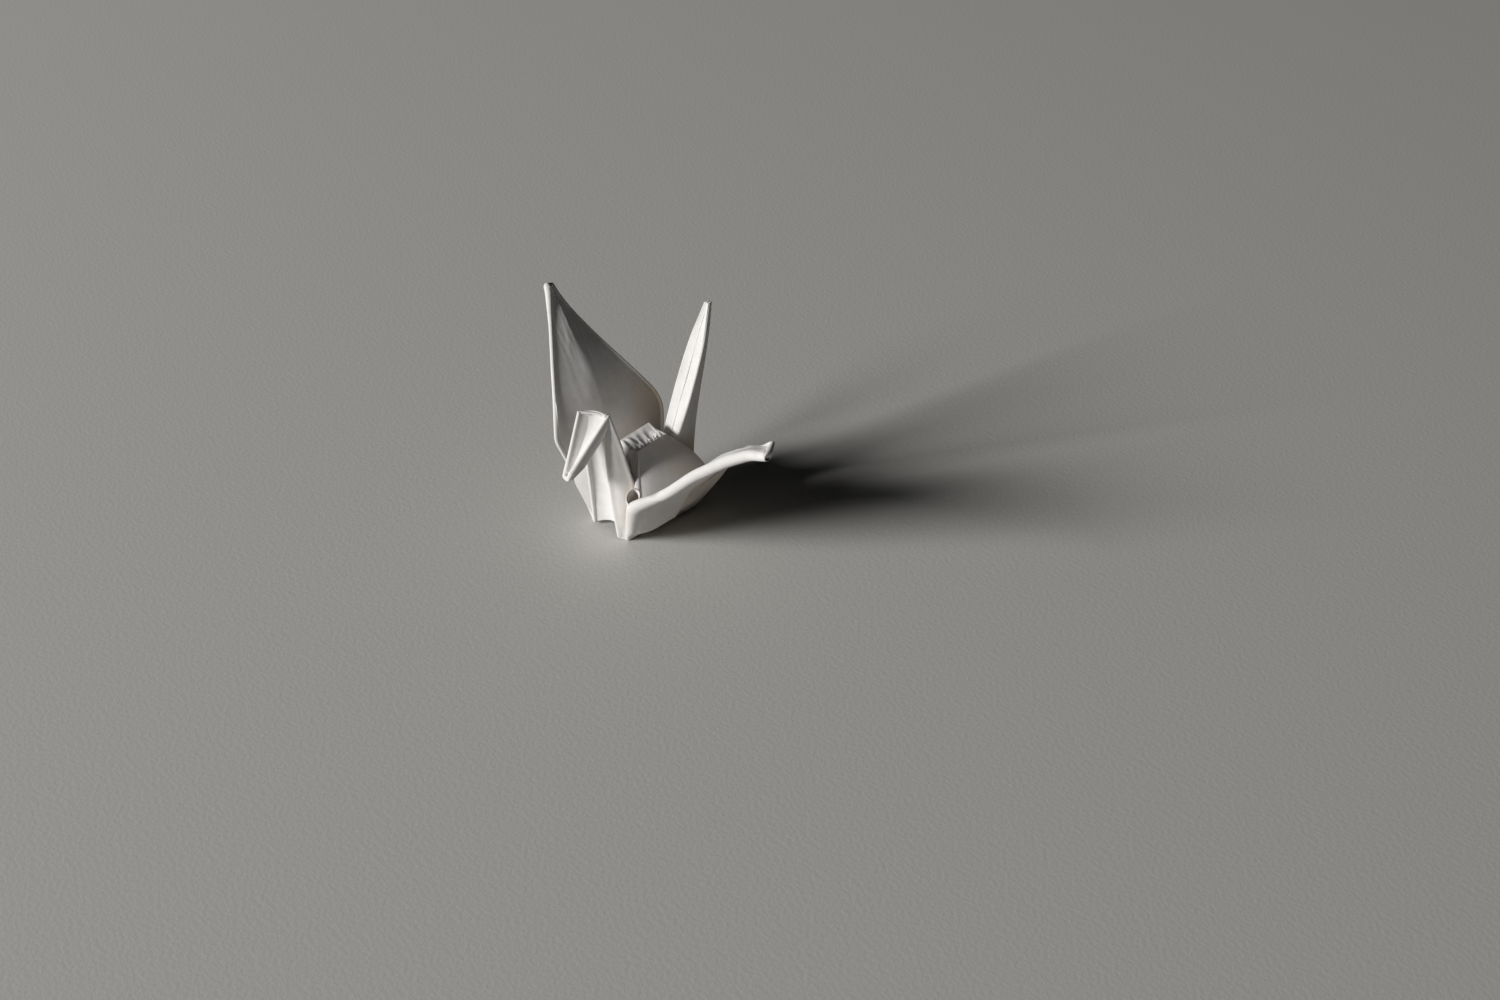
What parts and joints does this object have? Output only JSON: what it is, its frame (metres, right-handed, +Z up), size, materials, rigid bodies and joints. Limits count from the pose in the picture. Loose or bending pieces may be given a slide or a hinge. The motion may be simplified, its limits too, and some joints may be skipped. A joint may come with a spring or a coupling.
{
  "type": "origami crane",
  "caption": "Small origami crane folded from one square of white paper, wings half raised, with a squashed hump between them.",
  "frame": {"origin": "middle of the crane's box, at the level of its four feet", "axes": "+Z up, head and neck towards -Y, tail towards +Y, the lower of the two wings towards +X"},
  "size_m": [0.0564, 0.0318, 0.0359],
  "materials": {
    "paper": "matte"
  },
  "bodies": {
    "root": {"folded_crane": "paper"}
  },
  "joints": []
}
